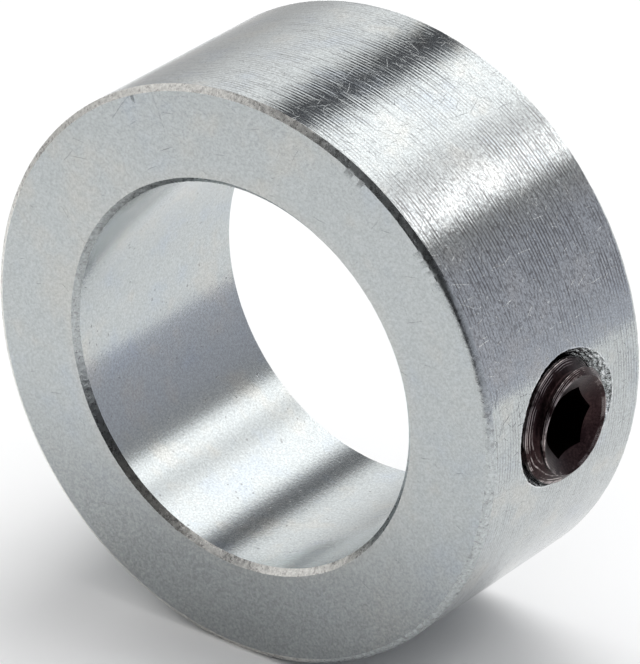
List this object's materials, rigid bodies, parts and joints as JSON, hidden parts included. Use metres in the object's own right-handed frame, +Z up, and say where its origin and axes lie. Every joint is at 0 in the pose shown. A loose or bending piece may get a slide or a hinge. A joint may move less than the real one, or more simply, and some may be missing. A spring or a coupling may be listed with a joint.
{
  "type": "shaft collar",
  "caption": "Solid ring that slides over a round shaft and locks to it with a cup point socket set screw in a tapped radial hole.",
  "frame": {"origin": "centre of the bore, on its axis and halfway between the two faces", "axes": "+Y along the bore axis, away from the front face; +X out along the set screw's axis; +Z up, square to both"},
  "size_m": [0.0387, 0.0158, 0.0382],
  "materials": {
    "zinc_plated_steel": "turned and zinc plated, fine lathe lines",
    "black_oxide_steel": "black oxide, oiled"
  },
  "bodies": {
    "collar": {"collar_ring": "zinc_plated_steel"},
    "screw_feed": {"set_screw_point": "black_oxide_steel"},
    "screw": {"set_screw": "black_oxide_steel"}
  },
  "joints": [
    {"name": "set_screw_advance", "type": "slide", "parent": "collar", "child": "screw_feed", "axis": [1, 0, 0], "range_m": [-0.00058, 0.00564]},
    {"name": "set_screw_turn", "type": "hinge", "parent": "screw_feed", "child": "screw", "pos_m": [0.01963, 0, 0], "axis": [1, 0, 0], "range_deg": [-149, 1441]}
  ],
  "couplings": [
    {"joint": "set_screw_turn", "follows": "set_screw_advance", "rad_per_m": 4452.7}
  ]
}
